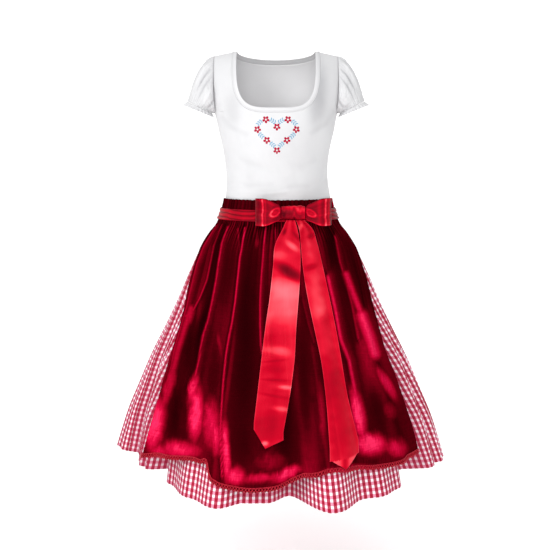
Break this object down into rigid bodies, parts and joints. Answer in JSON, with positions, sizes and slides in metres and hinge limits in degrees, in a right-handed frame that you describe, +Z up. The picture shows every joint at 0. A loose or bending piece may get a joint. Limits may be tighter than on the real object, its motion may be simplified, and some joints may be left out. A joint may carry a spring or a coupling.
{
  "type": "dirndl with puff-sleeve top, gingham skirt, velvet apron and bow",
  "caption": "Hollow folk dress worn in form: scoop-neck top with short puff sleeves, full fluted skirt, gathered apron with braid hem, and a tie with a bow and long tails",
  "frame": {"origin": "midway between the two neck points of the shoulder seams, where the wearer's shoulders hold the top", "axes": "+Z up, -Y the front of the garment, +X toward the wearer's left, seen at the right from the front"},
  "size_m": [0.8521, 0.8467, 1.0129],
  "materials": {
    "jersey": "soft white cotton jersey",
    "gingham": "red and white gingham, plain weave",
    "velvet": "dark red panne velvet",
    "braid": "red gimp braid",
    "satin": "bright red satin ribbon"
  },
  "bodies": {
    "root": {"bodice_front": "jersey", "bodice_back": "jersey", "neck_binding": "jersey", "sleeve_left": "jersey", "sleeve_frill_left": "jersey", "sleeve_right": "jersey", "sleeve_frill_right": "jersey", "skirt_front": "gingham", "skirt_back": "gingham", "skirt_waistband": "gingham", "apron": "velvet", "apron_band": "velvet", "apron_braid": "braid", "waist_tie": "satin", "bow_loop_left": "satin", "bow_loop_right": "satin", "bow_knot": "satin", "bow_tail_left": "satin", "bow_tail_right": "satin"}
  },
  "joints": []
}
